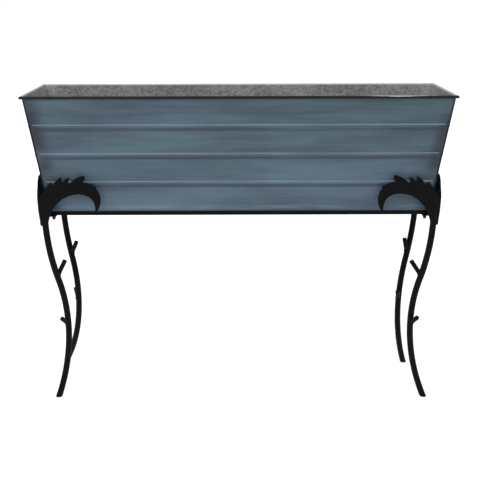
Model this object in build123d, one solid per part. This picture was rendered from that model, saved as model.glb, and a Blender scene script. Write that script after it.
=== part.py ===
from build123d import *
import os
from math import asin, atan2, cos, degrees, hypot, radians, sin, tan

os.makedirs("parts", exist_ok=True)

# A window-box planter of folded sheet steel that stands loose on a forged-look steel stand.
# Millimetres. Origin on the ground, at the centre of the four feet. +X right, +Y back, +Z up.

# Whole object
RIM_LENGTH = 895.0
RIM_DEPTH = 229.0
TOTAL_HEIGHT = 685.0
SEAT_HEIGHT = 436.0

# Planter box
FLOOR_LENGTH = 817.0
FLOOR_DEPTH = 168.0
SHEET = 0.8
LAYER_GAP = 0.05
WIRE_RADIUS = 2.2
CURL_INNER = WIRE_RADIUS + LAYER_GAP
CURL_OUTER = CURL_INNER + SHEET
CURL_TURN = 285.0
BEAD_PITCH = 61.0
BEAD_COUNT = 3
BEAD_WIDTH = 16.0
BEAD_HEIGHT = 3.0
BEAD_TAPER = 7.0
BEAD_INSET = 1.5
SEAM_WIDTH = 3.2
SEAM_START = 7.0
MITRE_DROP = 6.0
PAN_HEM = 6.0
DRAIN_RADIUS = 4.0
DRAIN_PITCH_X = 260.0
DRAIN_PITCH_Y = 90.0

# Stand
LEG_RADIUS = 7.0
LEG_X = 416.5
LEG_Y = 93.0
LEG_TOP_RISE = 8.0
LEG_STRAIGHT_DROP = 7.0
UPPER_BEND_RADIUS = 510.0
UPPER_BEND_TURN = 17.0
FOOT_EASE = 0.8
BAR = 8.0
LONG_BAR_Y = 81.5
TWIG_RADIUS = 5.0
UPPER_TWIG_LENGTH = 40.0
LOWER_TWIG_LENGTH = 36.0
UPPER_TWIG_HEIGHT = 287.0
LOWER_TWIG_HEIGHT = 169.0
LEAF_THICKNESS = 3.0
LEAF_BITE = 0.4
LUG_THICKNESS = 3.0
LUG_LENGTH = 27.0
LUG_WIDTH = 11.0

# Fasteners: M4 countersunk screws with domed nuts
SCREW_X = 399.5
SCREW_RADIUS = 2.0
SCREW_HEAD_RADIUS = 3.75
SCREW_LENGTH = 16.0
SCREW_HOLE_RADIUS = 2.15
SOCKET_RADIUS = 1.25
SOCKET_DEPTH = 1.3
NUT_FLATS = 7.0
NUT_HEX_HEIGHT = 4.2
NUT_DOME_RADIUS = 3.3
NUT_HEIGHT = 8.0

# Each leg: side in X, side in Y, radius of the lower bend, heading of the bends from the X axis,
# lean of the upper twig from vertical, and the direction of the lower twig (outboard, outward, up)
LEGS = {
    "front_left": (-1, -1, 394.0, 41.0, 33.0, (9, 29, 26)),
    "front_right": (1, -1, 372.0, 35.0, 40.0, (11, 27, 27)),
    "rear_left": (-1, 1, 322.0, 38.0, 31.0, (10, 14, 36)),
    "rear_right": (1, 1, 421.0, 36.0, 16.0, (-7, -18, 35)),
}

# Leaf outlines as strokes, each a line, a three-point arc or a smooth curve through its points:
# distance inboard of the leg's axis, and height above the seat
LONG_LEAF = [
    [(-7, -28), (9.5, -20)],
    [(9.5, -20), (13, -8), (22, 11), (40, 30), (75, 42), (102.5, 33), (110.5, 15), (109.5, 3.2)],
    [(109.5, 3.2), (113.5, 3)],
    [(113.5, 3), (121.5, 18), (123.5, 33), (115.5, 53)],
    [(115.5, 53), (117, 56)],
    [(117, 56), (108, 63), (86.5, 67.5)],
    [(86.5, 67.5), (92, 75), (91.5, 82.5)],
    [(91.5, 82.5), (76, 78), (58.5, 64)],
    [(58.5, 64), (57.7, 71), (61.7, 78.5)],
    [(61.7, 78.5), (52, 75.5), (45, 69)],
    [(45, 69), (43.3, 74), (45, 80.5)],
    [(45, 80.5), (34.5, 75), (25, 62)],
    [(25, 62), (22.3, 64.5), (21, 68.5)],
    [(21, 68.5), (12, 61.5), (6, 50)],
    [(6, 50), (-4, 38), (-8.5, 12), (-7, -28)],
]
SIDE_LEAF = [
    [(-5, -28), (8, -20)],
    [(8, -20), (11, -9), (20, 8), (40, 28), (60, 31), (75, 17), (77, 3.2)],
    [(77, 3.2), (81, 3)],
    [(81, 3), (87, 16), (83, 32), (74, 47)],
    [(74, 47), (68, 56), (57, 60)],
    [(57, 60), (60, 65), (60, 71)],
    [(60, 71), (51, 71), (41, 66)],
    [(41, 66), (41, 75), (46, 83)],
    [(46, 83), (33, 79), (23, 67)],
    [(23, 67), (22, 72), (24, 78)],
    [(24, 78), (11, 70), (3, 55)],
    [(3, 55), (-5.5, 38), (-6, 15), (-5, -28)],
]


def wall_lean(floor_half, rim_half):
    """Lean of a wall from vertical in degrees, and its slope length up to the curl's centre."""
    out = rim_half - CURL_OUTER - floor_half
    up = TOTAL_HEIGHT - CURL_OUTER - SEAT_HEIGHT
    reach = hypot(out, up)
    bend = asin(CURL_INNER / reach)
    return degrees(atan2(out, up) - bend), reach * cos(bend)


LONG_LEAN, LONG_SLOPE = wall_lean(FLOOR_DEPTH / 2, RIM_DEPTH / 2)
END_LEAN, END_SLOPE = wall_lean(FLOOR_LENGTH / 2, RIM_LENGTH / 2)
MITRE_Z = TOTAL_HEIGHT - CURL_OUTER - MITRE_DROP
END_SHEET_IN_PLAN = SHEET / cos(radians(END_LEAN))


def half_length(z):
    """Half of the box's outer length at height z."""
    return FLOOR_LENGTH / 2 + (z - SEAT_HEIGHT) * tan(radians(END_LEAN))


def half_depth(z):
    """Half of the box's outer depth at height z."""
    return FLOOR_DEPTH / 2 + (z - SEAT_HEIGHT) * tan(radians(LONG_LEAN))


def section_plane(floor_half, lean):
    """Across a wall that faces -Y: x is outward, y is up the slope."""
    out = Vector(0, -cos(radians(lean)), -sin(radians(lean)))
    return Plane(origin=(0, -floor_half, SEAT_HEIGHT), x_dir=out, z_dir=(-1, 0, 0))


def rolled_sheet(floor_half, lean, slope, span):
    """Flat wall with its top edge rolled outward around the wire, facing -Y."""
    centre = (CURL_INNER, slope)
    outer = CenterArc(centre, CURL_OUTER, 180, -CURL_TURN)
    inner = CenterArc(centre, CURL_INNER, 180, -CURL_TURN)
    lip = Line(outer @ 1, inner @ 1)
    wall = Polyline(inner @ 0, (0, 0), (-SHEET, 0), outer @ 0)
    face = make_face([outer, lip, inner, wall])
    return extrude(section_plane(floor_half, lean) * face, span, both=True)


def bead_bar(floor_half, lean, up, half_span, width, base, crown):
    """Bar with a bowed face and sloped ends, as an outer or inner form of one bead."""
    plane = section_plane(floor_half, lean)
    bow = ThreePointArc((base, up - width / 2), (crown, up), (base, up + width / 2))
    back = Polyline(bow @ 1, (base - SHEET, up + width / 2), (base - SHEET, up - width / 2), bow @ 0)
    bar = extrude(plane * make_face([bow, back]), half_span, both=True)
    plan = Plane(origin=plane.from_local_coords((0, up, 0)), x_dir=(1, 0, 0), z_dir=plane.y_dir)
    rise = crown - base
    ends = Polyline(
        (-half_span, SHEET - base),
        (half_span, SHEET - base),
        (half_span, -base),
        (half_span - BEAD_TAPER, -base - rise),
        (-half_span + BEAD_TAPER, -base - rise),
        (-half_span, -base),
        close=True,
    )
    return bar & extrude(plan * make_face(ends), width, both=True)


def elevation_block(low_half, low_z, high_half, high_z):
    """Everything between two slanted edges, seen from the front."""
    low = [(-low_half, low_z), (low_half, low_z)]
    high = [(high_half, high_z), (-high_half, high_z)]
    edge = Polyline(*low, *high, close=True)
    return extrude(Plane.XZ * make_face(edge), RIM_LENGTH, both=True)


def mitre_block(length_half, depth_half):
    """Everything at the rim between two 45 degree mitres, for a side that faces -Y."""
    past = 2 * CURL_OUTER
    inside = 8 * CURL_OUTER
    edge = Polyline(
        (-length_half - past, -depth_half - past),
        (length_half + past, -depth_half - past),
        (length_half - inside, -depth_half + inside),
        (-length_half + inside, -depth_half + inside),
        close=True,
    )
    return extrude(Plane.XY.offset(MITRE_Z) * make_face(edge), TOTAL_HEIGHT - MITRE_Z + past)


def beaded_wall(sheet, floor_half, lean, half_at):
    """Presses the beads into a wall, each ending just short of the corner seams."""
    for row in range(1, BEAD_COUNT + 1):
        z = SEAT_HEIGHT + row * BEAD_PITCH
        up = row * BEAD_PITCH / cos(radians(lean))
        span = half_at(z) - BEAD_INSET
        outer = bead_bar(floor_half, lean, up, span, BEAD_WIDTH, 0, BEAD_HEIGHT)
        inner = bead_bar(floor_half, lean, up, span - SHEET, BEAD_WIDTH - SHEET, -SHEET, BEAD_HEIGHT - SHEET)
        sheet = sheet + outer - inner
    return sheet


def long_panel():
    """Front wall, which fits between the end walls."""
    start = SEAT_HEIGHT + SHEET
    inside = END_SHEET_IN_PLAN + LAYER_GAP
    sheet = rolled_sheet(FLOOR_DEPTH / 2, LONG_LEAN, LONG_SLOPE, RIM_LENGTH)
    body = elevation_block(half_length(start) - inside, start, half_length(MITRE_Z) - inside, MITRE_Z)
    rim = mitre_block(RIM_LENGTH / 2 - CURL_OUTER, RIM_DEPTH / 2 - CURL_OUTER)
    wall = sheet & (body + rim)
    return beaded_wall(wall, FLOOR_DEPTH / 2, LONG_LEAN, lambda z: half_length(z) - SEAM_WIDTH)


def seam_hem():
    """Edge of an end wall folded flat over the long wall, extruded along the slanted corner edge."""
    seam = SEAT_HEIGHT + SEAM_START
    layer = LAYER_GAP + SHEET
    fold = Polyline(
        (0, 0),
        (layer, 0),
        (layer, SEAM_WIDTH),
        (LAYER_GAP, SEAM_WIDTH),
        (LAYER_GAP, END_SHEET_IN_PLAN),
        (0, END_SHEET_IN_PLAN),
        close=True,
    )
    along = Vector(tan(radians(LONG_LEAN)), -tan(radians(END_LEAN)), 1)
    face = Pos(half_depth(seam), -half_length(seam), seam) * make_face(fold)
    return extrude(face, (MITRE_Z - seam) * along.length, dir=along)


def end_panel():
    """End wall, built facing -Y, with its slanted edges hemmed over the long walls."""
    start = SEAT_HEIGHT + SHEET
    sheet = rolled_sheet(FLOOR_LENGTH / 2, END_LEAN, END_SLOPE, RIM_LENGTH)
    body = elevation_block(half_depth(start), start, half_depth(MITRE_Z), MITRE_Z)
    rim = mitre_block(RIM_DEPTH / 2 - CURL_OUTER, RIM_LENGTH / 2 - CURL_OUTER)
    wall = beaded_wall(sheet & (body + rim), FLOOR_LENGTH / 2, END_LEAN, half_depth)
    hem = seam_hem()
    return wall + hem + mirror(hem, Plane.YZ)


def pan_form(extra, low_z, high_z):
    """Tapered block that follows the walls, grown outward by extra."""
    ends = []
    for z in (low_z, high_z):
        rectangle = Rectangle(2 * (half_length(z) + extra), 2 * (half_depth(z) + extra))
        ends.append(Plane.XY.offset(z) * rectangle)
    return loft(ends, ruled=True)


def bottom_panel():
    """Shallow pan around the feet of the walls, with drain holes."""
    top = SEAT_HEIGHT + PAN_HEM
    pan = pan_form(LAYER_GAP + SHEET, SEAT_HEIGHT, top)
    pan -= pan_form(LAYER_GAP, SEAT_HEIGHT + SHEET, top + SHEET)
    holes = GridLocations(DRAIN_PITCH_X, DRAIN_PITCH_Y, 3, 2) * Cylinder(DRAIN_RADIUS, 4 * SHEET)
    return pan - Pos(0, 0, SEAT_HEIGHT) * Compound(children=holes)


def rim_wire():
    """Closed wire ring inside the rolled edge, mitred at its corners."""
    half_x = RIM_LENGTH / 2 - CURL_OUTER
    half_y = RIM_DEPTH / 2 - CURL_OUTER
    ring = None
    for quarter, (along, out) in enumerate([(half_x, half_y), (half_y, half_x)] * 2):
        rod = Cylinder(WIRE_RADIUS, 2 * RIM_LENGTH, rotation=(0, 90, 0))
        rod = Pos(0, -out, TOTAL_HEIGHT - CURL_OUTER) * rod & mitre_block(along, out)
        rod = Rot(0, 0, 90 * quarter) * rod
        ring = rod if ring is None else ring + rod
    return ring


def leg_curve(lower_radius, to_z):
    """Points of a leg's centre line: joint of the bends and the end, with a point on each bend."""
    top = SEAT_HEIGHT - LEG_STRAIGHT_DROP
    turn = radians(UPPER_BEND_TURN)

    def upper(angle):
        return UPPER_BEND_RADIUS * (1 - cos(angle)), top - UPPER_BEND_RADIUS * sin(angle)

    def lower(angle):
        across, z = upper(turn)
        across += lower_radius * (cos(angle) - cos(turn))
        return across, z - lower_radius * (sin(turn) - sin(angle))

    last = asin(sin(turn) - (upper(turn)[1] - to_z) / lower_radius)
    middle = (turn + last) / 2
    return (0, top), upper(turn / 2), upper(turn), lower(middle), lower(last)


def leg_plane(side_x, side_y, heading):
    """Vertical plane of one leg's bends: x runs inward, y runs up."""
    inward = Vector(-side_x * cos(radians(heading)), -side_y * sin(radians(heading)))
    return Plane(
        origin=(side_x * LEG_X, side_y * LEG_Y, 0), x_dir=inward, z_dir=inward.cross(Vector(0, 0, 1))
    )


def leg(side_x, side_y, lower_radius, heading):
    """Round bar with a short straight top, a bend inward and a longer bend outward."""
    top, bend_1, joint, bend_2, end = leg_curve(lower_radius, -2 * LEG_RADIUS)
    path = Line((0, SEAT_HEIGHT + LEG_TOP_RISE), top)
    path += ThreePointArc(top, bend_1, joint)
    path += ThreePointArc(joint, bend_2, end)
    start = Plane.XY.offset(SEAT_HEIGHT + LEG_TOP_RISE)
    disc = Pos(side_x * LEG_X, side_y * LEG_Y, 0) * start * Circle(LEG_RADIUS)
    bar = sweep(disc, leg_plane(side_x, side_y, heading) * path)
    bar = split(bar, Plane.XY, keep=Keep.TOP)
    bar = chamfer(bar.edges().group_by(Axis.Z)[0], FOOT_EASE)
    return chamfer(bar.edges().group_by(Axis.Z)[-1], FOOT_EASE)


def leg_point(side_x, side_y, lower_radius, heading, z):
    """Point on a leg's centre line at height z, on either bend."""
    top, _, joint, _, _ = leg_curve(lower_radius, 0)
    if z > joint[1]:
        angle = asin((top[1] - z) / UPPER_BEND_RADIUS)
        across = UPPER_BEND_RADIUS * (1 - cos(angle))
    else:
        across = leg_curve(lower_radius, z)[4][0]
    return leg_plane(side_x, side_y, heading).from_local_coords((across, z, 0))


def twig(root, direction, length, bar):
    """Blunt stub that grows from a leg, coped to the leg's surface."""
    plane = Plane(origin=root, z_dir=direction)
    stub = extrude(plane * Circle(TWIG_RADIUS), length)
    tip = stub.edges().sort_by(lambda edge: (edge.center() - root).length)[-1]
    return fillet(tip, TWIG_RADIUS / 3) - bar


def stroke(points):
    """Line, three-point arc or smooth curve, by the number of points."""
    if len(points) == 2:
        return Line(*points)
    if len(points) == 3:
        return ThreePointArc(*points)
    return Spline(*points)


def cupped_sheet(plane):
    """Slightly bowed sheet that touches the leg at its foot and stands off it above."""
    touch = LEG_RADIUS - LEAF_BITE
    inner = ThreePointArc((-touch, -30), (-touch - 3.3, 28), (-touch - 2.2, 86))
    outer = Pos(-LEAF_THICKNESS, 0) * inner
    face = make_face([inner, outer, Line(inner @ 0, outer @ 0), Line(inner @ 1, outer @ 1)])
    return extrude(plane * face, 2 * RIM_DEPTH, both=True)


def leaf(strokes, face_plane, across_plane, bar):
    """Scalloped leaf cut from the bowed sheet, coped where its foot is welded to the leg."""
    outline = make_face([stroke(points) for points in strokes])
    blank = extrude(face_plane * outline, 4 * LEAF_THICKNESS, both=True)
    return (cupped_sheet(across_plane) & blank) - bar


def corner_plane(base):
    """A main plane moved to the front left leg's axis at seat height."""
    return Plane(origin=(-LEG_X, -LEG_Y, SEAT_HEIGHT), x_dir=base.x_dir, z_dir=base.z_dir)


def at_corner(shape, side_x, side_y):
    """Mirrors a front left piece to another corner."""
    if side_x > 0:
        shape = mirror(shape, Plane.YZ)
    if side_y > 0:
        shape = mirror(shape, Plane.XZ)
    return shape


def screw():
    """Countersunk screw with a hexagon socket, head up, its top face at z = 0."""
    head = Cone(SCREW_RADIUS, SCREW_HEAD_RADIUS, SCREW_HEAD_RADIUS - SCREW_RADIUS)
    head = Pos(0, 0, -(SCREW_HEAD_RADIUS - SCREW_RADIUS) / 2) * head
    shank = Pos(0, 0, -SCREW_LENGTH / 2) * Cylinder(SCREW_RADIUS, SCREW_LENGTH)
    socket = extrude(RegularPolygon(SOCKET_RADIUS, 6), -SOCKET_DEPTH)
    return head + shank - socket


def screw_hole():
    """Clearance hole and countersink for one screw."""
    gap = SCREW_HOLE_RADIUS - SCREW_RADIUS
    wide = SCREW_HEAD_RADIUS + gap
    sink = Pos(0, 0, (SCREW_HOLE_RADIUS - wide) / 2) * Cone(SCREW_HOLE_RADIUS, wide, wide - SCREW_HOLE_RADIUS)
    return sink + Cylinder(SCREW_HOLE_RADIUS, 2 * SCREW_LENGTH)


def dome_nut():
    """Closed domed nut, its open face at z = 0 and its dome below."""
    hexagon = extrude(RegularPolygon(NUT_FLATS / 2, 6, major_radius=False), -NUT_HEX_HEIGHT)
    neck = NUT_HEIGHT - NUT_DOME_RADIUS
    dome = Pos(0, 0, -neck / 2) * Cylinder(NUT_DOME_RADIUS, neck) + Pos(0, 0, -neck) * Sphere(NUT_DOME_RADIUS)
    dome = split(dome, Plane.XY, keep=Keep.BOTTOM)
    depth = SCREW_LENGTH - BAR - LUG_THICKNESS + 2 * SHEET
    bore = Pos(0, 0, -depth / 2) * Cylinder(SCREW_RADIUS + LAYER_GAP, depth)
    return hexagon + dome - bore


def long_bar():
    """Front bar that carries the box, drilled and countersunk near both ends."""
    length = 2 * (LEG_X - BAR / 2)
    bar = Pos(0, -LONG_BAR_Y, SEAT_HEIGHT - BAR / 2) * Box(length, BAR, BAR)
    for side in (-1, 1):
        bar -= Pos(side * SCREW_X, -LONG_BAR_Y, SEAT_HEIGHT) * screw_hole()
    return bar


def side_bar(side_x, legs):
    """Bar between the two legs of one end, coped to both."""
    bar = Pos(side_x * LEG_X, 0, SEAT_HEIGHT - BAR / 2) * Box(BAR, 2 * LEG_Y, BAR)
    for leg_bar in legs:
        bar -= leg_bar
    return bar


def lug(bar):
    """Front left plate under the side bar, which the long bar is screwed to."""
    low_x = -LEG_X - BAR / 2
    z = SEAT_HEIGHT - BAR - LUG_THICKNESS / 2
    plate = Pos(low_x + LUG_LENGTH / 2, -LONG_BAR_Y, z) * Box(LUG_LENGTH, LUG_WIDTH, LUG_THICKNESS)
    plate -= Pos(-SCREW_X, -LONG_BAR_Y, z) * Cylinder(SCREW_HOLE_RADIUS, 2 * LUG_THICKNESS)
    return plate - bar


def four_of(shape, z):
    """The same fastener at the four ends of the long bars."""
    places = [(x * SCREW_X, y * LONG_BAR_Y, z) for x in (-1, 1) for y in (-1, 1)]
    return Compound(children=[Pos(*place) * shape for place in places])


def write(shape, node):
    export_step(shape, f"parts/{node}.step")


def write_box():
    front = long_panel()
    write(front, "front_panel")
    write(mirror(front, Plane.XZ), "back_panel")
    end = end_panel()
    write(Rot(0, 0, -90) * end, "left_end_panel")
    write(Rot(0, 0, 90) * end, "right_end_panel")
    write(bottom_panel(), "bottom_panel")
    write(rim_wire(), "rim_wire")


def write_stand():
    legs = {-1: [], 1: []}
    for corner, (side_x, side_y, radius, heading, lean, low_twig) in LEGS.items():
        bar = leg(side_x, side_y, radius, heading)
        legs[side_x].append(bar)
        write(bar, f"leg_{corner}")
        rise = leg_plane(side_x, side_y, heading).x_dir * tan(radians(lean)) + Vector(0, 0, 1)
        root = leg_point(side_x, side_y, radius, heading, UPPER_TWIG_HEIGHT)
        write(twig(root, rise, UPPER_TWIG_LENGTH, bar), f"twig_{corner}_upper")
        reach = Vector(side_x * low_twig[0], side_y * low_twig[1], low_twig[2])
        root = leg_point(side_x, side_y, radius, heading, LOWER_TWIG_HEIGHT)
        write(twig(root, reach, LOWER_TWIG_LENGTH, bar), f"twig_{corner}_lower")
        write_corner(corner, side_x, side_y, bar)
    front = long_bar()
    write(front, "front_bar")
    write(mirror(front, Plane.XZ), "rear_bar")
    write(side_bar(-1, legs[-1]), "left_side_bar")
    write(side_bar(1, legs[1]), "right_side_bar")
    write(four_of(screw(), SEAT_HEIGHT), "frame_screws")
    write(four_of(dome_nut(), SEAT_HEIGHT - BAR - LUG_THICKNESS), "dome_nuts")


def write_corner(corner, side_x, side_y, bar):
    """Leaves and lug of one corner, made at the front left and mirrored into place."""
    front_left_bar = at_corner(bar, side_x, side_y)
    face_front = corner_plane(Plane.XZ)
    face_side = corner_plane(Plane.YZ)
    long_leaf = leaf(LONG_LEAF, face_front, face_side, front_left_bar)
    side_leaf = leaf(SIDE_LEAF, face_side, face_front, front_left_bar)
    write(at_corner(long_leaf, side_x, side_y), f"leaf_{corner}_long")
    write(at_corner(side_leaf, side_x, side_y), f"leaf_{corner}_side")
    write(at_corner(lug(front_left_bar), side_x, side_y), f"lug_{corner}")


write_box()
write_stand()
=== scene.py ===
from math import asin, atan2, ceil, cos, exp, hypot, pi, radians, sin, sqrt, tan

import bmesh
import bpy
from mathutils import Matrix, Vector, noise


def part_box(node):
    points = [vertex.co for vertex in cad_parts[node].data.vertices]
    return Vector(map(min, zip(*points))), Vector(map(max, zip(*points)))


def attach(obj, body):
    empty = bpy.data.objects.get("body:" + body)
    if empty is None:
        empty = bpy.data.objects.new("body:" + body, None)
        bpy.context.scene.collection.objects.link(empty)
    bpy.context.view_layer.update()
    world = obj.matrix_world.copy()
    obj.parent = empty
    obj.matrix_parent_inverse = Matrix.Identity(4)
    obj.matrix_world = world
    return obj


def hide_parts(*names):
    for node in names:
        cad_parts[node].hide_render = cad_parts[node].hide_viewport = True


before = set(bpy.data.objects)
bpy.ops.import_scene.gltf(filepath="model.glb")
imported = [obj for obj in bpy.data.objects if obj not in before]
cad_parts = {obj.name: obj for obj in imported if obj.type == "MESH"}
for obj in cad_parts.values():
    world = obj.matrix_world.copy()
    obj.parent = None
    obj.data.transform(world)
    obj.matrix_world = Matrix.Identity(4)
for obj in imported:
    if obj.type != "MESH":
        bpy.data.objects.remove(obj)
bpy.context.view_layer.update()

# Metres throughout, in the part's own frame: +X right, +Y back, +Z up, ground at zero.
# Angles are in degrees, apart from turns and steps that are made with radians() or pi here.

# Planter box, as in the CAD model. CURL is the rolled rim, MITRE where the walls' rims meet on the
# diagonal, SEAM the end walls' edges that are folded over the long walls.
RIM_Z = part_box("front_panel")[1].z
RIM_HALF_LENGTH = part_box("right_end_panel")[1].x
RIM_HALF_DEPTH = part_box("back_panel")[1].y
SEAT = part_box("bottom_panel")[0].z
FLOOR_HALF_LENGTH = 0.4085
FLOOR_HALF_DEPTH = 0.084
SHEET = 0.0008
LAYER_GAP = 0.00005
WIRE_RADIUS = 0.0022
CURL_INNER = WIRE_RADIUS + LAYER_GAP
CURL_OUTER = CURL_INNER + SHEET
CURL_TURN = radians(285)
MITRE_BELOW_CURL = 0.006
MITRE_Z = RIM_Z - CURL_OUTER - MITRE_BELOW_CURL
SEAM_WIDTH = 0.0032
SEAM_START = 0.007
BEAD_PITCH = 0.061
BEAD_WIDTH = 0.016
BEAD_HEIGHT = 0.003
BEAD_INSET = 0.0015
BEAD_TAPER = 0.007
BEAD_MARGIN = 0.08 * BEAD_WIDTH
BEAD_CREST = 0.28
BEAD_FALL = 2.2
BEADS = (1, 2, 3)

# Stand, as in the CAD model
LEG_RADIUS = 0.0070
LEG_X = 0.4165
LEG_Y = 0.093
LEG_TOP = SEAT + 0.008
LEG_STRAIGHT_END = SEAT - 0.007
UPPER_BEND_RADIUS = 0.510
UPPER_BEND_TURN = radians(17)
FOOT_EASE = 0.0008
BAR = 0.008
TWIG_RADIUS = 0.005
TWIG_START = 0.002
UPPER_TWIG_LENGTH = 0.040
LOWER_TWIG_LENGTH = 0.036
UPPER_TWIG_HEIGHT = 0.287
LOWER_TWIG_HEIGHT = 0.169
LEAF_FOOT_DROP = 0.027
LEAF_WELD_END = 0.002
LEAF_WELD_SUNK = 0.0012
LEAF_WELD_ASIDE = 0.0036

# Each leg: side in X, side in Y, radius of the lower bend, heading of the bends from the X axis,
# lean of the upper twig from vertical, and the direction of the lower twig (outboard, outward, up)
LEGS = {
    "front_left": (-1, -1, 0.394, 41, 33, (9, 29, 26)),
    "front_right": (1, -1, 0.372, 35, 40, (11, 27, 27)),
    "rear_left": (-1, 1, 0.322, 38, 31, (10, 14, 36)),
    "rear_right": (1, 1, 0.421, 36, 16, (-7, -18, 35)),
}

# Where the paint ends on the rolled rim, in half turns: more is further inward. Each long wall
# also has one stretch that is rubbed bare, at this place along it.
RIM_PAINT = {"front": 0.08, "back": -0.10, "right_end": 0.0, "left_end": 0.0}
RUBBED_PLACE = 0.33
RUBBED_REACH = 0.075
RUBBED_DEPTH = 0.46

# Marks on the walls: smudges near their ends, a paler band at the foot, black from the rim down
SMUDGE_REACH = 0.032
FOOT_BAND_TOP = 0.017
FOOT_BAND_FULL = 0.009
RIM_FADE = 0.0015

# Paint on the pan: painted shade on its lower edge and underside above the bars, and how far out
# the hem's outer face begins
PAN_SHADE_TOP = 0.0036
PAN_SHADE_FULL = 0.0012
HEM_CLEAR = 0.0003

# Hand-made irregularity and finish. A WAVE or DENT is the size of an unevenness, a FREE band has
# none of it, and an EASE is the rounding of an edge.
SHEET_WAVE = 0.0005
WAVE_FREE_END = 0.05
WAVE_FREE_EDGE = 0.03
CURL_WOBBLE = 0.05
ROD_WAVE = 0.00008
HEM_BEND = 0.0006
HEM_TIP = 0.0004
HEM_EASE = 0.004
HEM_END = 0.55
WELD_RIPPLE = 0.16
WELD_PITCH = 0.0022
WELD_END = 0.35
WELD_END_RINGS = 3
TWIG_WELD = 0.0016
LEAF_WELD = 0.0013
BAR_WELD = 0.0012
LEAF_SOFTENING = 5
LEAF_DENT = 0.00014
BAR_EASE = 0.0007
LUG_EASE = 0.0004
PAN_EASE = 0.0002
FASTENER_EASE = 0.00018

# How finely the meshes are divided
FLAT_STEP = 0.006
BEAD_STEP = 0.0007
UNDER_CURL = 0.003
UNDER_CURL_STEP = 0.001
CURL_STEP = radians(11)
END_COLUMNS = (0, 0.001, 0.0025, 0.004, 0.006, 0.008, 0.010, 0.0125, 0.016, 0.022, 0.030)
LONG_WALL_STEP = 0.009
END_WALL_STEP = 0.006
HEM_STEP = 0.005
ROD_STEP = 0.005
TWIG_STEP = 0.003
LEAF_WELD_STEP = 0.0008
BAR_WELD_SHARE = 0.12
LEAF_VOXEL = 0.0009
ROUNDING_STEP = pi / 8
TWIG_TIP_STEP = pi / 10
AROUND_ROD = 32
AROUND_WELD = 10
ALONG_TWIG_WELD = 40
MERGE_GAP = 1e-6
FLAT_ANGLE = 0.8
SHARP_ANGLE = 35
LEAF_SHARP_ANGLE = 80

# Camera at the reference view
CAMERA_PLACE = (-0.002, -1.8142, 0.9025)
CAMERA_DOWN = 17.08
CAMERA_PAN = -0.11
CAMERA_ROLL = -0.13
CAMERA_LENS = 62.53
SENSOR_WIDTH = 36

# Studio. Suns: name, azimuth (0 shines along +Y, 90 along -X), elevation, spread and strength
SUNS = (
    ("key", -24, 50, 50, 1.75),
    ("fill", 38, 26, 60, 0.5),
    ("back", 190, 38, 50, 0.8),
    ("left", -90, 35, 60, 0.8),
    ("right", 90, 35, 60, 0.8),
)
SKY_SEEN = 1.0
SKY_REFLECTED = 0.16
FLOOR_REACHES = (1.0, 3.0, 12.0)
FLOOR_SIDES = 48
WHITE = (1, 1, 1, 1)


# ---------------------------------------------------------------- small helpers


def smooth(value):
    """Smooth step from 0 to 1."""
    value = min(1.0, max(0.0, value))
    return value * value * (3 - 2 * value)


def bell(value, centre, width):
    """Bell curve that is 1 at its centre."""
    return exp(-(((value - centre) / width) ** 2))


def spaced(low, high, step):
    """Evenly spaced values from low to high, no further apart than step."""
    count = max(1, ceil((high - low) / step))
    return [low + (high - low) * i / count for i in range(count + 1)]


def linear(red, green, blue):
    """Linear colour of an sRGB colour given from 0 to 255."""
    channels = []
    for level in (red / 255, green / 255, blue / 255):
        channels.append(level / 12.92 if level <= 0.04045 else ((level + 0.055) / 1.055) ** 2.4)
    return (*channels, 1.0)


def skin(rings, closed=False, paired=False):
    """Points and faces through rings of equal size, closed on itself or capped at both ends.

    A paired ring runs up one side of a sheet and down the other, so its cap is a strip of quads.
    """
    count = len(rings[0])
    points = [tuple(point) for ring in rings for point in ring]
    faces = []
    for i in range(len(rings) if closed else len(rings) - 1):
        here = i * count
        there = (i + 1) % len(rings) * count
        for j in range(count):
            k = (j + 1) % count
            faces.append((here + j, here + k, there + k, there + j))
    if not closed:
        for start in (0, (len(rings) - 1) * count):
            if paired:
                last = start + count - 1
                for j in range(count // 2 - 1):
                    faces.append((start + j, start + j + 1, last - j - 1, last - j))
            else:
                faces.append(tuple(range(start, start + count)))
    return points, faces


def joined(*parts):
    """One list of points and faces from several."""
    points = []
    faces = []
    for more_points, more_faces in parts:
        offset = len(points)
        points += more_points
        faces += [tuple(index + offset for index in face) for face in more_faces]
    return points, faces


def add_piece(name, mesh, body, node, material, sharp=SHARP_ANGLE):
    """Puts a finished mesh in the scene, riding on its body and standing for its CAD node."""
    work = bmesh.new()
    work.from_mesh(mesh)
    bmesh.ops.recalc_face_normals(work, faces=work.faces)
    work.to_mesh(mesh)
    work.free()
    mesh.polygons.foreach_set("use_smooth", [True] * len(mesh.polygons))
    mesh.set_sharp_from_angle(angle=radians(sharp))
    mesh.materials.clear()
    mesh.materials.append(material)
    piece = bpy.data.objects.new(name, mesh)
    bpy.context.scene.collection.objects.link(piece)
    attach(piece, body)
    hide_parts(node)


def mesh_of(name, points, faces, attributes=None):
    """Mesh from points and faces, with a number at each point for every attribute."""
    mesh = bpy.data.meshes.new(name)
    mesh.from_pydata(points, [], faces)
    for label, values in (attributes or {}).items():
        mesh.attributes.new(label, "FLOAT", "POINT").data.foreach_set("value", values)
    return mesh


def ring(centre, tangent, side, radius, count=AROUND_ROD):
    """Circle of points about a centre, square to the tangent."""
    u = (side - tangent * side.dot(tangent)).normalized()
    v = tangent.cross(u)
    turns = [2 * pi * i / count for i in range(count)]
    return [centre + radius * (cos(turn) * u + sin(turn) * v) for turn in turns]


# ---------------------------------------------------------------- planter box


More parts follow.
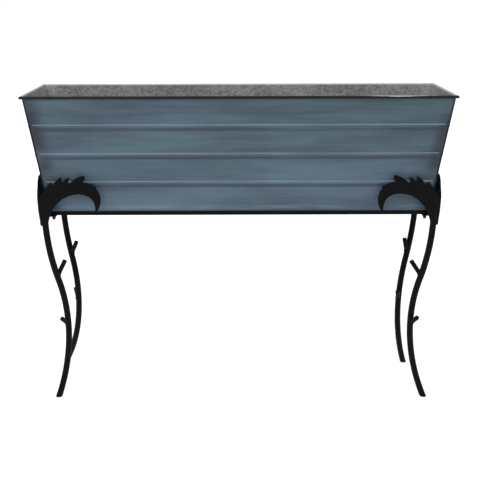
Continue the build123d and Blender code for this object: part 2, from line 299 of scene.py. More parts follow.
def wall_lean(floor_half, rim_half):
    """Lean of a wall from vertical, and its slope length up to the curl's centre."""
    out = rim_half - CURL_OUTER - floor_half
    up = RIM_Z - CURL_OUTER - SEAT
    reach = hypot(out, up)
    bend = asin(CURL_INNER / reach)
    return atan2(out, up) - bend, reach * cos(bend)


LONG_LEAN, LONG_SLOPE = wall_lean(FLOOR_HALF_DEPTH, RIM_HALF_DEPTH)
END_LEAN, END_SLOPE = wall_lean(FLOOR_HALF_LENGTH, RIM_HALF_LENGTH)
END_SHEET_IN_PLAN = SHEET / cos(END_LEAN)


def half_length(z):
    """Half of the box's outer length at height z."""
    return FLOOR_HALF_LENGTH + (z - SEAT) * tan(END_LEAN)


def half_depth(z):
    """Half of the box's outer depth at height z."""
    return FLOOR_HALF_DEPTH + (z - SEAT) * tan(LONG_LEAN)


def bead_profile(share):
    """Height of a pressed bead at a share of its width below its upper edge.

    It rises steeply to its crest and falls away slowly below.
    """
    if share <= 0 or share >= 1:
        return 0.0
    if share < BEAD_CREST:
        return smooth(share / BEAD_CREST)
    return 1 - ((share - BEAD_CREST) / (1 - BEAD_CREST)) ** BEAD_FALL


def bead_share(up, lean):
    """Share of the nearest bead's width that a point lies below its upper edge."""
    rows = [row * BEAD_PITCH / cos(lean) for row in BEADS]
    centre = min(rows, key=lambda row: abs(row - up))
    return 0.5 + (centre - up) / BEAD_WIDTH


def bead_wear_and_light(below):
    """Rubbed paint and grime on a bead, with painted light: above zero pale with a painted
    highlight, below zero dark with painted shade.
    """
    crest = bell(below, 0.10, 0.09)
    bead_underside = 0.9 * bell(below, 0.66, 0.30)
    lower_edge = 0.4 * bell(below, 1.07, 0.06)
    return crest - bead_underside + lower_edge


def flat_stations(lean, slope):
    """Distances up a wall: close together over the beads, wider between them."""
    stations = [SHEET]
    for row in BEADS:
        centre = row * BEAD_PITCH / cos(lean)
        start = centre - BEAD_WIDTH / 2 - BEAD_MARGIN
        end = centre + BEAD_WIDTH / 2 + BEAD_MARGIN
        stations += spaced(stations[-1], start, FLAT_STEP)[1:]
        stations += spaced(start, end, BEAD_STEP)[1:]
    stations += spaced(stations[-1], slope - UNDER_CURL, FLAT_STEP)[1:]
    return stations + spaced(slope - UNDER_CURL, slope, UNDER_CURL_STEP)[1:]


def column_offsets(half, step):
    """Positions along a wall as (side, distance from that end), finer near both ends."""
    last = END_COLUMNS[-1]
    left = [(-1, distance) for distance in END_COLUMNS]
    across = [(-1, last + distance) for distance in spaced(0, 2 * (half - last), step)[1:-1]]
    return left + across + [(1, distance) for distance in reversed(END_COLUMNS)]


def wall_wave(along, up, slope, half, seed):
    """Slight hand-worked unevenness of a sheet, broad and close, nothing at its edges."""
    edge = smooth((half - abs(along)) / WAVE_FREE_END)
    edge = edge * smooth(up / WAVE_FREE_EDGE) * smooth((slope - up) / WAVE_FREE_EDGE)
    broad = noise.noise(Vector((along * 4.5, up * 9, seed)))
    close = noise.noise(Vector((along * 16, up * 22, seed + 5)))
    return SHEET_WAVE * edge * (broad + 0.35 * close)


def wall(floor_half, lean, slope, half_at, bead_end_at, rim_half, rim_out, step, seed, rim_paint):
    """Sheet wall that faces -Y, with beads and its top edge curled outward.

    Its attributes guide the paint. crest marks a bead's rubbed paint, grime, painted highlight and
    painted shade, edge the nearness to the wall's ends, coat 1 on the painted side and a ramp on
    the curl's outside, rim 1 on the curl.
    """
    flats = flat_stations(lean, slope)
    curl = spaced(0, CURL_TURN, CURL_STEP)[1:]
    columns = []
    marks = {"crest": [], "edge": [], "coat": [], "rim": []}

    def place(side, distance, out, up):
        """Point so far in from one end, out from the face and up the slope; and the half length."""
        y = -floor_half - out * cos(lean) - up * sin(lean)
        z = SEAT - out * sin(lean) + up * cos(lean)
        mitred = rim_half - CURL_OUTER + (-y - rim_out + CURL_OUTER)
        half = half_at(z) if z < MITRE_Z else mitred
        return Vector((side * (half - distance), y, z)), half

    for side, distance in column_offsets(half_at(SEAT), step):
        face = []
        back = []
        for up in flats:
            point, half = place(side, distance, 0, up)
            below = bead_share(up, lean)
            fade = smooth((bead_end_at(point.z) - abs(point.x)) / BEAD_TAPER)
            out = BEAD_HEIGHT * bead_profile(below) * fade
            out += wall_wave(point.x, up, slope, half, seed)
            edge = bell(half - abs(point.x), 0, SMUDGE_REACH)
            rim = smooth((up - slope + RIM_FADE) / RIM_FADE)
            face.append((place(side, distance, out, up)[0], bead_wear_and_light(below) * fade, edge, 1, rim))
            back.append((place(side, distance, out - SHEET, up)[0], 0, edge, 0, rim))
        outer = CURL_OUTER * (1 + CURL_WOBBLE * noise.noise(Vector((point.x * 9, seed, 2))))
        reach = rim_paint - RUBBED_DEPTH * bell(point.x, RUBBED_PLACE, RUBBED_REACH)
        for turn in curl:
            for radius, line, coat in ((CURL_INNER, face, 1), (outer, back, turn / pi + reach)):
                out = CURL_INNER - radius * cos(turn)
                up = slope + radius * sin(turn)
                line.append((place(side, distance, out, up)[0], 0, 0, coat, 1))
        section = face + back[::-1]
        columns.append([entry[0] for entry in section])
        for index, label in enumerate(marks, start=1):
            marks[label] += [entry[index] for entry in section]
    return *skin(columns, paired=True), marks


def seam_hem(side_y):
    """Edge of the right end wall, folded flat over a long wall along the slanted corner."""
    rings = []
    bottom = SEAT + SEAM_START
    quarter_turn = spaced(0, pi / 2, ROUNDING_STEP)
    for z in spaced(bottom, MITRE_Z, HEM_STEP):
        ease = min(1, HEM_END + (1 - HEM_END) * smooth(min(z - bottom, MITRE_Z - z) / HEM_EASE))
        width = SEAM_WIDTH * (1 + 0.07 * noise.noise(Vector((z * 40, side_y, 3))))
        rise = (SHEET + LAYER_GAP) * ease * (1 + 0.12 * noise.noise(Vector((z * 55, side_y, 7))))
        low = -0.5 * SHEET
        outline = [(0, low)]
        for turn in quarter_turn:
            outline.append((HEM_BEND * (1 - cos(turn)), rise - HEM_BEND * (1 - sin(turn))))
        for turn in quarter_turn:
            outline.append((width - HEM_TIP * (1 - sin(turn)), rise - HEM_TIP * (1 - cos(turn))))
        outline.append((width, low))
        x = half_length(z)
        y = half_depth(z)
        rings.append([Vector((x - inward, side_y * (y + out), z)) for inward, out in outline])
    return skin(rings)


def turned(points, quarter):
    """Points turned about the vertical axis by quarter turns."""
    turn = Matrix.Rotation(quarter * pi / 2, 3, "Z")
    return [tuple(turn @ Vector(point)) for point in points]


def add_wall(name, points, faces, marks, material):
    """Puts a wall in the scene for the panel of the same name."""
    mesh = mesh_of(f"{name}_wall", points, faces, marks)
    add_piece(f"{name}_wall", mesh, "planter_box", f"{name}_panel", material)


def make_walls(material):
    """Long walls that fit between the end walls, then end walls with their folded hems."""
    long_inset = END_SHEET_IN_PLAN + LAYER_GAP
    for name, quarter, seed in (("front", 0, 11), ("back", 2, 23)):
        points, faces, marks = wall(
            FLOOR_HALF_DEPTH,
            LONG_LEAN,
            LONG_SLOPE,
            lambda z: half_length(z) - long_inset,
            lambda z: half_length(z) - SEAM_WIDTH - BEAD_INSET,
            RIM_HALF_LENGTH,
            RIM_HALF_DEPTH,
            LONG_WALL_STEP,
            seed,
            RIM_PAINT[name],
        )
        add_wall(name, turned(points, quarter), faces, marks, material)
    for name, quarter, seed in (("right_end", 1, 37), ("left_end", 3, 41)):
        points, faces, marks = wall(
            FLOOR_HALF_LENGTH,
            END_LEAN,
            END_SLOPE,
            half_depth,
            lambda z: half_depth(z) - BEAD_INSET,
            RIM_HALF_DEPTH,
            RIM_HALF_LENGTH,
            END_WALL_STEP,
            seed,
            RIM_PAINT[name],
        )
        hem_points, hem_faces = joined(seam_hem(-1), seam_hem(1))
        hem_points = turned(hem_points, quarter - 1)
        for label, level in (("crest", 0), ("edge", 1), ("coat", 1), ("rim", 1)):
            marks[label] += [level] * len(hem_points)
        points, faces = joined((turned(points, quarter), faces), (hem_points, hem_faces))
        add_wall(name, points, faces, marks, material)


# ---------------------------------------------------------------- stand


def reworked(node, edge_radius, segments=3):
    """Copy of a CAD node's mesh with its flat faces merged and its sharp edges rounded."""
    work = bmesh.new()
    work.from_mesh(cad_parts[node].data)
    bmesh.ops.remove_doubles(work, verts=work.verts, dist=MERGE_GAP)
    flat = radians(FLAT_ANGLE)
    bmesh.ops.dissolve_limit(work, angle_limit=flat, verts=work.verts, edges=work.edges)
    solid_edges = [edge for edge in work.edges if edge.is_manifold]
    sharp = [edge for edge in solid_edges if edge.calc_face_angle() > radians(SHARP_ANGLE)]
    bmesh.ops.bevel(
        work,
        geom=sharp,
        offset=edge_radius,
        segments=segments,
        profile=0.5,
        affect="EDGES",
        clamp_overlap=True,
    )
    mesh = bpy.data.meshes.new(node)
    work.to_mesh(mesh)
    work.free()
    return mesh


def leg_frame(side_x, side_y, heading):
    """Top of a leg's axis at ground height, the way its bends run inward, and the bends' normal."""
    turn = radians(heading)
    inward = Vector((-side_x * cos(turn), -side_y * sin(turn), 0))
    return Vector((side_x * LEG_X, side_y * LEG_Y, 0)), inward, inward.cross(Vector((0, 0, 1)))


def leg_station(lower_radius, z):
    """A leg's centre line at height z: distance inward from its top, and its tangent's lean."""
    if z >= LEG_STRAIGHT_END:
        return 0.0, 0.0
    joint_z = LEG_STRAIGHT_END - UPPER_BEND_RADIUS * sin(UPPER_BEND_TURN)
    joint = UPPER_BEND_RADIUS * (1 - cos(UPPER_BEND_TURN))
    if z >= joint_z:
        turn = asin((LEG_STRAIGHT_END - z) / UPPER_BEND_RADIUS)
        return UPPER_BEND_RADIUS * (1 - cos(turn)), turn
    turn = asin(sin(UPPER_BEND_TURN) - (joint_z - z) / lower_radius)
    return joint + lower_radius * (cos(turn) - cos(UPPER_BEND_TURN)), turn


def leg_axis(side_x, side_y, lower_radius, heading, z):
    """Point on a leg's centre line at height z, and the upward tangent there."""
    origin, inward, _ = leg_frame(side_x, side_y, heading)
    across, turn = leg_station(lower_radius, z)
    point = origin + inward * across + Vector((0, 0, z))
    return point, (Vector((0, 0, 1)) * cos(turn) - inward * sin(turn)).normalized()


def level_ring(side_x, side_y, lower_radius, heading, z, shrink):
    """Ring of a leg where a level cut crosses it at height z."""
    _, _, normal = leg_frame(side_x, side_y, heading)
    centre, tangent = leg_axis(side_x, side_y, lower_radius, heading, z)
    points = ring(centre, tangent, normal, LEG_RADIUS - shrink)
    return [point + tangent * ((z - point.z) / tangent.z) for point in points]


def leg_rod(side_x, side_y, lower_radius, heading):
    """Round bent rod with a level, eased foot and an eased top."""
    _, _, normal = leg_frame(side_x, side_y, heading)
    rings = []
    quarter_turn = spaced(0, pi / 2, ROUNDING_STEP)
    for turn in quarter_turn:
        z = FOOT_EASE * (1 - cos(turn))
        shrink = FOOT_EASE * (1 - sin(turn))
        rings.append(level_ring(side_x, side_y, lower_radius, heading, z, shrink))
    foot_clear = 2 * LEG_RADIUS
    for z in spaced(foot_clear, LEG_TOP - FOOT_EASE, ROD_STEP):
        centre, tangent = leg_axis(side_x, side_y, lower_radius, heading, z)
        swell = ROD_WAVE * noise.noise(Vector((z * 60, side_x, side_y)))
        rings.append(ring(centre, tangent, normal, LEG_RADIUS + swell))
    for turn in quarter_turn[1:]:
        z = LEG_TOP - FOOT_EASE * (1 - sin(turn))
        shrink = FOOT_EASE * (1 - cos(turn))
        rings.append(level_ring(side_x, side_y, lower_radius, heading, z, shrink))
    return skin(rings)


def weld(path, ways, closed, radius):
    """Rippled weld bead along a path; each way is the direction a ring's section is built on."""
    rings = []
    count = len(path)
    length = 0.0
    for i, centre in enumerate(path):
        before = path[i - 1] if closed or i else path[i]
        after = path[(i + 1) % count] if closed or i < count - 1 else path[i]
        length += (centre - path[i - 1]).length if i else 0
        ripple = 1 + WELD_RIPPLE * abs(sin(pi * length / WELD_PITCH)) - WELD_RIPPLE / 2
        from_end = smooth(min(i, count - 1 - i) / WELD_END_RINGS)
        end = 1.0 if closed else WELD_END + (1 - WELD_END) * from_end
        tangent = (after - before).normalized()
        rings.append(ring(centre, tangent, ways[i], radius * ripple * end, AROUND_WELD))
    return skin(rings, closed=closed)


def twig_weld(root, tangent, direction):
    """Weld bead where a twig leaves its leg."""
    side = direction.cross(tangent).normalized()
    up = side.cross(direction)
    path = []
    for i in range(ALONG_TWIG_WELD):
        turn = 2 * pi * i / ALONG_TWIG_WELD
        offset = TWIG_RADIUS * (cos(turn) * side + sin(turn) * up)
        flat_offset = offset - tangent * offset.dot(tangent)
        flat_way = direction - tangent * direction.dot(tangent)
        # Where a line along the twig's side meets the leg: the root of a t^2 + 2 b t + c
        a = flat_way.length_squared
        b = flat_offset.dot(flat_way)
        c = flat_offset.length_squared - LEG_RADIUS**2
        reach = (-b + sqrt(max(0.0, b * b - a * c))) / a
        path.append(root + offset + direction * reach)
    return weld(path, [direction] * len(path), closed=True, radius=TWIG_WELD)


def twig_stub(root, tangent, direction, length):
    """Blunt stub with a rounded tip, and its weld."""
    direction = direction.normalized()
    side = direction.cross(tangent).normalized()
    round_off = TWIG_RADIUS / 3
    rings = []
    for along in spaced(TWIG_START, length - round_off, TWIG_STEP):
        swell = ROD_WAVE * noise.noise(root * 90 + Vector((along * 120, 0, 0)))
        rings.append(ring(root + direction * along, direction, side, TWIG_RADIUS + swell))
    for turn in spaced(0, pi / 2, TWIG_TIP_STEP)[1:]:
        along = length - round_off * (1 - sin(turn))
        radius = TWIG_RADIUS - round_off * (1 - cos(turn))
        rings.append(ring(root + direction * along, direction, side, radius))
    return joined(skin(rings), twig_weld(root, tangent, direction))


def make_legs(coat):
    """Bent legs, each with its two twigs."""
    for corner, (side_x, side_y, radius, heading, lean, low) in LEGS.items():
        node = f"leg_{corner}"
        mesh = mesh_of(node, *leg_rod(side_x, side_y, radius, heading))
        add_piece(f"{node}_rod", mesh, "stand", node, coat)
        _, inward, _ = leg_frame(side_x, side_y, heading)
        upper = inward * tan(radians(lean)) + Vector((0, 0, 1))
        lower = Vector((side_x * low[0], side_y * low[1], low[2]))
        for word, height, way, length in (
            ("upper", UPPER_TWIG_HEIGHT, upper, UPPER_TWIG_LENGTH),
            ("lower", LOWER_TWIG_HEIGHT, lower, LOWER_TWIG_LENGTH),
        ):
            root, tangent = leg_axis(side_x, side_y, radius, heading, height)
            node = f"twig_{corner}_{word}"
            mesh = mesh_of(node, *twig_stub(root, tangent, way, length))
            add_piece(f"{node}_stub", mesh, "stand", node, coat)


def leaf_mesh(node):
    """Leaf plate with rounded edges and a faint hammered face, from its CAD solid."""
    rough = bpy.data.objects.new("leaf_blank", reworked(node, 0.0, 1))
    bpy.context.scene.collection.objects.link(rough)
    remesh = rough.modifiers.new("even", "REMESH")
    remesh.mode = "VOXEL"
    remesh.voxel_size = LEAF_VOXEL
    soften = rough.modifiers.new("soften", "SMOOTH")
    soften.factor = 0.5
    soften.iterations = LEAF_SOFTENING
    bpy.context.view_layer.update()
    shaped = rough.evaluated_get(bpy.context.evaluated_depsgraph_get())
    mesh = bpy.data.meshes.new_from_object(shaped)
    bpy.data.objects.remove(rough)
    for vertex in mesh.vertices:
        dent = noise.noise(vertex.co * 70) + 0.4 * noise.noise(vertex.co * 190)
        vertex.co += vertex.normal * (LEAF_DENT * dent)
    return mesh


def leaf_welds(side_x, side_y, lower_radius, heading, kind):
    """Two weld beads in the corners between a leaf's foot and the leg."""
    out = Vector((0, side_y, 0)) if kind == "long" else Vector((side_x, 0, 0))
    across = Vector((1, 0, 0)) if kind == "long" else Vector((0, 1, 0))
    parts = []
    for side in (-1, 1):
        path = []
        for z in spaced(SEAT - LEAF_FOOT_DROP, SEAT - LEAF_WELD_END, LEAF_WELD_STEP):
            centre, _ = leg_axis(side_x, side_y, lower_radius, heading, z)
            corner = out * (LEG_RADIUS - LEAF_WELD_SUNK) + across * side * LEAF_WELD_ASIDE
            path.append(centre + corner)
        parts.append(weld(path, [out] * len(path), closed=False, radius=LEAF_WELD))
    return joined(*parts)


def make_leaves(coat):
    """One leaf of each kind, mirrored to every corner."""
    for kind in ("long", "side"):
        plate = leaf_mesh(f"leaf_front_left_{kind}")
        faces = [tuple(polygon.vertices) for polygon in plate.polygons]
        for corner, (side_x, side_y, radius, heading, _, _) in LEGS.items():
            places = [vertex.co for vertex in plate.vertices]
            points = [(-side_x * co.x, -side_y * co.y, co.z) for co in places]
            parts = joined((points, faces), leaf_welds(side_x, side_y, radius, heading, kind))
            node = f"leaf_{corner}_{kind}"
            mesh = mesh_of(node, *parts)
            name = f"{node}_plate"
            add_piece(name, mesh, "stand", node, coat, LEAF_SHARP_ANGLE)


def bar_weld(side_x, side_y):
    """Weld bead round the end of a side bar, where it meets the straight top of a leg."""
    half = BAR / 2
    corners = [(-half, -half), (half, -half), (half, half), (-half, half)]
    path = []
    ways = []
    for (x0, z0), (x1, z1) in zip(corners, corners[1:] + corners[:1]):
        for share in spaced(0, 1, BAR_WELD_SHARE)[:-1]:
            x = x0 + (x1 - x0) * share
            z = z0 + (z1 - z0) * share
            y = LEG_Y - sqrt(LEG_RADIUS**2 - x * x)
            path.append(Vector((side_x * (LEG_X + x), side_y * y, SEAT - half + z)))
            ways.append(Vector((0, side_y, 0)))
    return weld(path, ways, closed=True, radius=BAR_WELD)


def make_frame(coat, fastener):
    """Bars, lugs and fasteners, from their CAD solids; the side bars also get their welds."""
    for node in ("front_bar", "rear_bar", "left_side_bar", "right_side_bar"):
        mesh = reworked(node, BAR_EASE)
        if "side" in node:
            side_x = -1 if node.startswith("left") else 1
            points = [tuple(vertex.co) for vertex in mesh.vertices]
            faces = [tuple(polygon.vertices) for polygon in mesh.polygons]
            parts = joined((points, faces), bar_weld(side_x, -1), bar_weld(side_x, 1))
            mesh = mesh_of(node, *parts)
        add_piece(f"{node}_rail", mesh, "stand", node, coat)
    for corner in LEGS:
        node = f"lug_{corner}"
        mesh = reworked(node, LUG_EASE)
        add_piece(f"{node}_plate", mesh, "stand", node, coat)
    for node in ("frame_screws", "dome_nuts"):
        mesh = reworked(node, FASTENER_EASE, 2)
        add_piece(f"{node}_set", mesh, "stand", node, fastener)


# ---------------------------------------------------------------- materials


SLATE_DEEP = linear(62, 79, 88)
SLATE_DEEP_COOL = linear(64, 77, 91)
SLATE_PALE = linear(84, 105, 117)
SLATE_PALE_COOL = linear(83, 101, 118)
SLATE_STREAK = linear(92, 112, 124)
SLATE_HAIR = linear(54, 68, 80)
# Paler band along the foot of each wall
PALE_FOOT_BAND = linear(112, 132, 145)
# Grime and painted shade on the lower flank of each bead
BEAD_UNDERSIDE_GRIME_AND_SHADE = linear(50, 57, 71)
END_SMUDGE = linear(42, 45, 57)
# Rubbed paint and a painted highlight on each bead's crest
CREST_RUBBED_AND_LIT = linear(114, 136, 152)
RIM_BLACK = linear(19, 17, 20)
# Painted shade on the pan's lower edge, above the bars
PAN_EDGE_SHADE = linear(44, 48, 56)
ZINC_DARK = linear(110, 112, 114)
ZINC_LIGHT = linear(164, 166, 167)
# Paler zinc near the ends of each wall
ZINC_PALE_AT_ENDS = linear(182, 183, 187)
# Zinc on the curl: partly rubbed bare, partly a painted highlight where the rim's top catches light
ZINC_RIM_WORN_AND_LIT = linear(204, 204, 208)
COAT_BLACK = linear(9, 9, 9)
COAT_DUST = linear(17, 16, 16)
FASTENER_DARK = linear(30, 30, 31)
FASTENER_SCUFF = linear(64, 63, 62)
FLOOR_DARK = (0.50, 0.50, 0.50, 1)
FLOOR_LIGHT = (0.54, 0.54, 0.54, 1)
SPANGLES = 230.0
SPANGLE_SHIFT = (0.006, 0.006, 0.006)
SHEET_SPECULAR = 0.22
ZINC_METAL = 0.30
SHEET_GRAIN = 0.00006


class Shader:
    """A material's nodes, made by short calls that take and give sockets."""

    def __init__(self, name):
        self.material = bpy.data.materials.new(name)
        self.material.use_nodes = True
        self.tree = self.material.node_tree
        self.surface = self.tree.nodes["Principled BSDF"]
        self.place = self.add("ShaderNodeTexCoord").outputs["Object"]

    def add(self, kind, inputs=None, **settings):
        """New node with its settings, and a value or a socket for each named input."""
        made = self.tree.nodes.new(kind)
        for key, value in settings.items():
            setattr(made, key, value)
        for key, value in (inputs or {}).items():
            self.put(made.inputs[key], value)
        return made

    def put(self, socket, value):
        if isinstance(value, bpy.types.NodeSocket):
            self.tree.links.new(value, socket)
        else:
            socket.default_value = value

    def set(self, **inputs):
        """Sets the surface's own inputs; an underscore in a name stands for a space."""
        for key, value in inputs.items():
            self.put(self.surface.inputs[key.replace("_", " ")], value)

    def stretched(self, x, y, z):
        """Coordinates scaled on each axis."""
        inputs = {0: self.place, 1: (x, y, z)}
        return self.add("ShaderNodeVectorMath", inputs, operation="MULTIPLY").outputs[0]

    def noise(self, at, scale=1.0, detail=4.0, rough=0.55, distort=0.0):
        inputs = {"Vector": at, "Scale": scale, "Detail": detail, "Roughness": rough}
        inputs["Distortion"] = distort
        return self.add("ShaderNodeTexNoise", inputs).outputs[0]

    def math(self, operation, a, b=0.0):
        return self.add("ShaderNodeMath", {0: a, 1: b}, operation=operation).outputs[0]

    def step(self, value, low, high, to_low=0.0, to_high=1.0):
        """Smooth step of a value between two levels."""
        inputs = {0: value, 1: low, 2: high, 3: to_low, 4: to_high}
        return self.add("ShaderNodeMapRange", inputs, interpolation_type="SMOOTHSTEP").outputs[0]

    def mix(self, share, a, b):
        """Colour mix."""
        made = self.add("ShaderNodeMix", data_type="RGBA", clamp_result=True)
        for index, value in ((0, share), (6, a), (7, b)):
            self.put(made.inputs[index], value)
        return made.outputs[2]

    def blend(self, share, a, b):
        """Number mix."""
        made = self.add("ShaderNodeMix", data_type="FLOAT")
        for index, value in ((0, share), (2, a), (3, b)):
            self.put(made.inputs[index], value)
        return made.outputs[0]

    def mark(self, name):
        """One of the attributes that a wall's mesh carries."""
        return self.add("ShaderNodeAttribute", attribute_name=name).outputs["Fac"]

    def bump(self, height, distance, strength):
        inputs = {"Height": height, "Distance": distance, "Strength": strength}
        self.set(Normal=self.add("ShaderNodeBump", inputs).outputs[0])


def slate_colour(shader):
    """Streaky brushed slate blue, as a colour socket."""
    broad = shader.noise(shader.stretched(3.2, 3.2, 17), detail=3, rough=0.5, distort=0.4)
    streak = shader.noise(shader.stretched(7, 7, 150), detail=3, rough=0.6)
    hair = shader.noise(shader.stretched(16, 16, 900), detail=2, rough=0.5)
    tint = shader.noise(shader.stretched(5, 5, 12), detail=2, rough=0.5)
    deep = shader.mix(shader.step(tint, 0.35, 0.65), SLATE_DEEP, SLATE_DEEP_COOL)
    pale = shader.mix(shader.step(tint, 0.4, 0.7), SLATE_PALE, SLATE_PALE_COOL)
    colour = shader.mix(shader.step(broad, 0.33, 0.68), deep, pale)
    colour = shader.mix(shader.step(streak, 0.3, 0.75, 0.0, 0.30), colour, SLATE_STREAK)
    return shader.mix(shader.step(hair, 0.35, 0.65, 0.0, 0.12), colour, SLATE_HAIR)


def paint_with_wear_and_light(shader, colour):
    """Paint colour after a paler foot band, grime and painted shade under the beads, rubbed paint
    and a painted highlight on their crests, smudges at the ends and black at the rim.
    """
    patch = shader.noise(shader.stretched(5, 5, 11), detail=3, rough=0.5, distort=0.5)
    along = shader.noise(shader.stretched(9, 9, 5), detail=2)
    height = shader.add("ShaderNodeSeparateXYZ", {0: shader.place}).outputs[2]
    foot = shader.step(height, SEAT + FOOT_BAND_TOP, SEAT + FOOT_BAND_FULL)
    crest = shader.step(shader.mark("crest"), 0.15, 0.9)
    bead_underside = shader.step(shader.mark("crest"), -0.2, -0.8)
    near_end = shader.step(shader.mark("edge"), 0.1, 1.0)
    # Layers over the paint: a paler foot band, grime with painted shade under each bead, smudges
    # near the ends, rubbed paint with a painted highlight on each crest
    wear_and_light_layers = (
        (foot, shader.step(along, 0.35, 0.6, 0.05, 0.38), PALE_FOOT_BAND),
        (bead_underside, shader.step(patch, 0.34, 0.60, 0.30, 0.72), BEAD_UNDERSIDE_GRIME_AND_SHADE),
        (near_end, shader.step(patch, 0.36, 0.58, 0.18, 0.85), END_SMUDGE),
        (crest, shader.step(along, 0.3, 0.6, 0.3, 0.7), CREST_RUBBED_AND_LIT),
    )
    for place, strength, overlay in wear_and_light_layers:
        colour = shader.mix(shader.math("MULTIPLY", place, strength), colour, overlay)
    return shader.mix(shader.step(shader.mark("rim"), 0.25, 0.9), colour, RIM_BLACK)


def zinc_colour(shader):
    """Spangled galvanised sheet: its colour, and the crystals and grain under it."""
    warp = shader.noise(shader.place, scale=60, detail=2)
    shift = shader.add("ShaderNodeVectorMath", {0: warp, 1: SPANGLE_SHIFT}, operation="MULTIPLY")
    inputs = {0: shader.place, 1: shift.outputs[0]}
    moved = shader.add("ShaderNodeVectorMath", inputs, operation="ADD")
    cells = shader.add("ShaderNodeTexVoronoi", {"Vector": moved.outputs[0], "Scale": SPANGLES})
    crystal = shader.add("ShaderNodeSeparateColor", {0: cells.outputs["Color"]}).outputs[0]
    grain = shader.noise(shader.place, scale=520, detail=2, rough=0.6)
    cloud = shader.noise(shader.place, scale=11, detail=4, rough=0.6)
    level = shader.math("MULTIPLY", crystal, 0.42)
    level = shader.math("ADD", level, shader.math("MULTIPLY", grain, 0.4))
    level = shader.math("ADD", level, shader.math("MULTIPLY", cloud, 0.6))
    return shader.mix(shader.step(level, 0.30, 1.12), ZINC_DARK, ZINC_LIGHT), crystal, grain


def coated_sheet():
    """Folded galvanised sheet, painted slate blue outside up to the top of its curled rim."""
    shader = Shader("slate_blue_sheet")
    paint = paint_with_wear_and_light(shader, slate_colour(shader))
    zinc, crystal, grain = zinc_colour(shader)
    ragged = shader.noise(shader.place, scale=45, detail=4, rough=0.6)
    # The zinc is made paler towards the ends of each wall.
    near_end = shader.step(shader.mark("edge"), 0.35, 1.0)
    pale_at_ends = shader.math("MULTIPLY", near_end, shader.step(ragged, 0.35, 0.6, 0.2, 0.6))
    zinc = shader.mix(pale_at_ends, zinc, ZINC_PALE_AT_ENDS)
    # Zinc on the curl is paler: partly rubbed bare, partly a painted highlight where the rim's top
    # catches light.
    zinc = shader.mix(shader.step(shader.mark("rim"), 0.4, 1.0, 0.0, 0.6), zinc, ZINC_RIM_WORN_AND_LIT)
    line = shader.math("ADD", shader.mark("coat"), shader.math("MULTIPLY", ragged, 0.5))
    painted = shader.step(line, 0.62, 0.70)
    zinc_rough = shader.step(crystal, 0, 1, 0.42, 0.56)
    paint_rough = shader.step(ragged, 0, 1, 0.42, 0.58)
    shader.set(
        Base_Color=shader.mix(painted, zinc, paint),
        Metallic=shader.blend(painted, ZINC_METAL, 0.0),
        Roughness=shader.blend(painted, zinc_rough, paint_rough),
        Specular_IOR_Level=SHEET_SPECULAR,
    )
    brushed = shader.noise(shader.stretched(25, 25, 700), detail=2)
    shader.bump(shader.blend(painted, grain, brushed), SHEET_GRAIN, 0.5)
    return shader.material


def pan_sheet():
    """Bottom pan: galvanised inside, painted like the walls on its outer hem and underside."""
    shader = Shader("pan_sheet")
    zinc, crystal, grain = zinc_colour(shader)
    x, y, z = shader.add("ShaderNodeSeparateXYZ", {0: shader.place}).outputs
    # Painted shade: the paint darkens towards the pan's lower edge and over its underside, above
    # the bars.
    deep = shader.step(z, SEAT + PAN_SHADE_TOP, SEAT + PAN_SHADE_FULL)
    paint = shader.mix(deep, slate_colour(shader), PAN_EDGE_SHADE)
    normal = shader.add("ShaderNodeTexCoord").outputs["Normal"]
    upward = shader.add("ShaderNodeSeparateXYZ", {0: normal}).outputs[2]
    not_top = shader.math("LESS_THAN", upward, 0.3)
    far = shader.math("ABSOLUTE", y)
    far = shader.math("GREATER_THAN", far, FLOOR_HALF_DEPTH + HEM_CLEAR)
    wide = shader.math("ABSOLUTE", x)
    wide = shader.math("GREATER_THAN", wide, FLOOR_HALF_LENGTH + HEM_CLEAR)
    under = shader.math("LESS_THAN", z, SEAT + SHEET / 2)
    outer = shader.math("MAXIMUM", under, shader.math("MAXIMUM", far, wide))
    painted = shader.math("MULTIPLY", not_top, outer)
    shader.set(
        Base_Color=shader.mix(painted, zinc, paint),
        Metallic=shader.blend(painted, ZINC_METAL, 0.0),
        Roughness=shader.step(crystal, 0, 1, 0.40, 0.56),
        Specular_IOR_Level=SHEET_SPECULAR,
    )
    shader.bump(grain, SHEET_GRAIN, 0.5)
    return shader.material


def bare_zinc():
    """Galvanised wire inside the rolled rim."""
    shader = Shader("galvanised_wire")
    zinc, crystal, grain = zinc_colour(shader)
    shader.set(Base_Color=zinc, Metallic=0.8, Roughness=shader.step(crystal, 0, 1, 0.38, 0.55))
    shader.bump(grain, 0.00005, 0.4)
    return shader.material


def powder_coat():
    """Satin black powder coat: fine orange peel, a little dust, duller where it was handled."""
    shader = Shader("black_coated_steel")
    peel = shader.noise(shader.place, scale=620, detail=2, rough=0.5)
    dust = shader.noise(shader.place, scale=38, detail=5, rough=0.65)
    shader.set(
        Base_Color=shader.mix(shader.step(dust, 0.42, 0.80), COAT_BLACK, COAT_DUST),
        Roughness=shader.step(dust, 0.3, 0.7, 0.46, 0.60),
        Specular_IOR_Level=0.07,
    )
    shader.bump(peel, 0.00008, 0.55)
    return shader.material


def black_fastener():
    """Blackened screws and nuts, slightly brighter where a tool has turned them."""
    shader = Shader("black_fasteners")
    scuff = shader.noise(shader.place, scale=900, detail=3, rough=0.6)
    shader.set(
        Base_Color=shader.mix(shader.step(scuff, 0.5, 0.75), FASTENER_DARK, FASTENER_SCUFF),
        Metallic=0.6,
        Roughness=shader.step(scuff, 0.3, 0.7, 0.32, 0.48),
    )
    shader.bump(scuff, 0.00003, 0.4)
    return shader.material


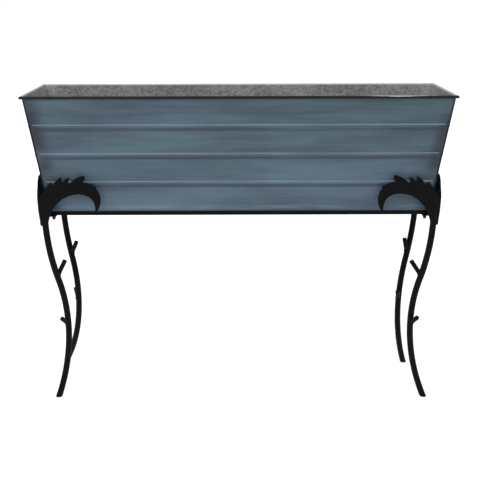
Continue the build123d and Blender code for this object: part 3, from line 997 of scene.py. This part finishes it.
def studio_floor():
    """Matt floor with the faintest mottling, lit up to pure white by its own glow."""
    shader = Shader("studio_floor")
    mottle = shader.noise(shader.place, scale=3, detail=3)
    shader.set(
        Base_Color=shader.mix(mottle, FLOOR_DARK, FLOOR_LIGHT),
        Roughness=0.9,
        Specular_IOR_Level=0.1,
        Emission_Color=WHITE,
        Emission_Strength=0.66,
    )
    return shader.material


# ---------------------------------------------------------------- studio


def make_floor():
    """Level disc under the stand, in one fan and two rings of faces."""
    sides = FLOOR_SIDES
    points = [(0, 0, 0)]
    faces = []
    for reach in FLOOR_REACHES:
        for i in range(sides):
            turn = 2 * pi * i / sides
            points.append((reach * cos(turn), reach * sin(turn), 0))
    for i in range(sides):
        k = (i + 1) % sides
        faces.append((0, 1 + i, 1 + k))
        for start in (1, 1 + sides):
            faces.append((start + i, start + sides + i, start + sides + k, start + k))
    floor = bpy.data.objects.new("studio_floor", mesh_of("studio_floor", points, faces))
    floor.data.materials.append(studio_floor())
    bpy.context.scene.collection.objects.link(floor)


def add_sun(name, azimuth, elevation, spread, strength):
    """Broad soft light from far off."""
    data = bpy.data.lights.new(name, "SUN")
    data.angle = radians(spread)
    data.energy = strength
    light = bpy.data.objects.new(name, data)
    swing = Matrix.Rotation(radians(azimuth), 4, "Z")
    light.matrix_world = swing @ Matrix.Rotation(radians(90 - elevation), 4, "X")
    bpy.context.scene.collection.objects.link(light)


def make_world():
    """White behind the object, with a dimmer white for what the surfaces reflect."""
    world = bpy.data.worlds.new("studio")
    bpy.context.scene.world = world
    world.use_nodes = True
    tree = world.node_tree
    backdrop = tree.nodes["Background"]
    backdrop.inputs["Color"].default_value = WHITE
    backdrop.inputs["Strength"].default_value = SKY_SEEN
    dim = tree.nodes.new("ShaderNodeBackground")
    dim.inputs["Color"].default_value = WHITE
    dim.inputs["Strength"].default_value = SKY_REFLECTED
    mix = tree.nodes.new("ShaderNodeMixShader")
    path = tree.nodes.new("ShaderNodeLightPath")
    tree.links.new(path.outputs["Is Camera Ray"], mix.inputs[0])
    tree.links.new(dim.outputs[0], mix.inputs[1])
    tree.links.new(backdrop.outputs[0], mix.inputs[2])
    tree.links.new(mix.outputs[0], tree.nodes["World Output"].inputs["Surface"])


def make_camera():
    """Camera at the reference view, in front of the planter and a little above it."""
    data = bpy.data.cameras.new("camera")
    data.sensor_width = SENSOR_WIDTH
    data.lens = CAMERA_LENS
    camera = bpy.data.objects.new("camera", data)
    bpy.context.scene.collection.objects.link(camera)
    pan = Matrix.Rotation(radians(CAMERA_PAN), 4, "Z")
    tilt = Matrix.Rotation(radians(90 - CAMERA_DOWN), 4, "X")
    roll = Matrix.Rotation(radians(CAMERA_ROLL), 4, "Z")
    camera.matrix_world = Matrix.Translation(CAMERA_PLACE) @ pan @ tilt @ roll
    bpy.context.scene.camera = camera


def make_studio():
    """Everything that is not the part."""
    make_floor()
    make_world()
    make_camera()
    for sun in SUNS:
        add_sun(*sun)
    bpy.context.scene.view_settings.view_transform = "Standard"


# ---------------------------------------------------------------- making it

make_studio()
make_walls(coated_sheet())
coat = powder_coat()
make_legs(coat)
make_leaves(coat)
make_frame(coat, black_fastener())
pan = reworked("bottom_panel", PAN_EASE, 2)
add_piece("pan", pan, "planter_box", "bottom_panel", pan_sheet())
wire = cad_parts["rim_wire"]
wire.data.materials.clear()
wire.data.materials.append(bare_zinc())
